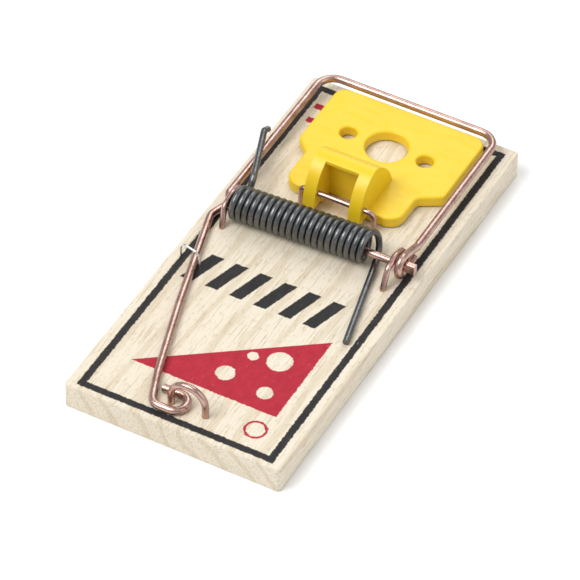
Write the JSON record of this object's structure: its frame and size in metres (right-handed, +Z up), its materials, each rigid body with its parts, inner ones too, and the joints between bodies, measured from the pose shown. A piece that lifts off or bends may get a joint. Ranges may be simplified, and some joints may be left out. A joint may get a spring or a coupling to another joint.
{
  "type": "snap mouse trap",
  "caption": "Wooden snap mouse trap, sprung shut, with a wire hammer on a torsion spring, a locking arm and a plastic bait pedal.",
  "frame": {"origin": "centre of the underside of the wooden base", "axes": "+Y from the locking arm's end to the pedal end, +X to the right looking along +Y, +Z up"},
  "size_m": [0.046, 0.0984, 0.0166],
  "materials": {
    "pine": "sawn pine, unvarnished, printed",
    "coppered_wire": "copper washed steel wire",
    "spring_wire": "dark oiled spring steel wire",
    "bright_wire": "bright fine steel wire",
    "yellow_plastic": "satin moulded plastic"
  },
  "bodies": {
    "trap_base": {"base": "pine", "hinge_staple_left": "coppered_wire", "hinge_staple_right": "coppered_wire", "arm_staple": "coppered_wire", "pedal_staple": "coppered_wire", "torsion_spring": "spring_wire"},
    "hammer": {"hammer": "coppered_wire"},
    "pedal": {"pedal": "yellow_plastic"},
    "locking_arm": {"locking_arm": "coppered_wire"},
    "shipping_staple": {"shipping_staple": "bright_wire"}
  },
  "joints": [
    {"name": "hammer_swing", "type": "hinge", "parent": "trap_base", "child": "hammer", "pos_m": [0, 0.007, 0.0088], "axis": [1, 0, 0], "range_deg": [0, 172], "stiffness_Nm_per_rad": 0.1, "springref_deg": -28.65, "deforming": ["torsion_spring"]},
    {"name": "pedal_tilt", "type": "hinge", "parent": "trap_base", "child": "pedal", "pos_m": [0, 0.0156, 0.01], "axis": [1, 0, 0], "range_deg": [0, 10]},
    {"name": "arm_swing", "type": "hinge", "parent": "trap_base", "child": "locking_arm", "pos_m": [-0.003, -0.0437, 0.00665], "axis": [0, 0, 1], "range_deg": [0, 45]},
    {"name": "shipping_staple_pull", "type": "slide", "parent": "trap_base", "child": "shipping_staple", "axis": [0, 0, 1], "range_m": [0, 0.055]}
  ],
  "couplings": [
    {"joint": "shipping_staple_pull", "follows": "arm_swing", "m_per_rad": 0.07}
  ]
}
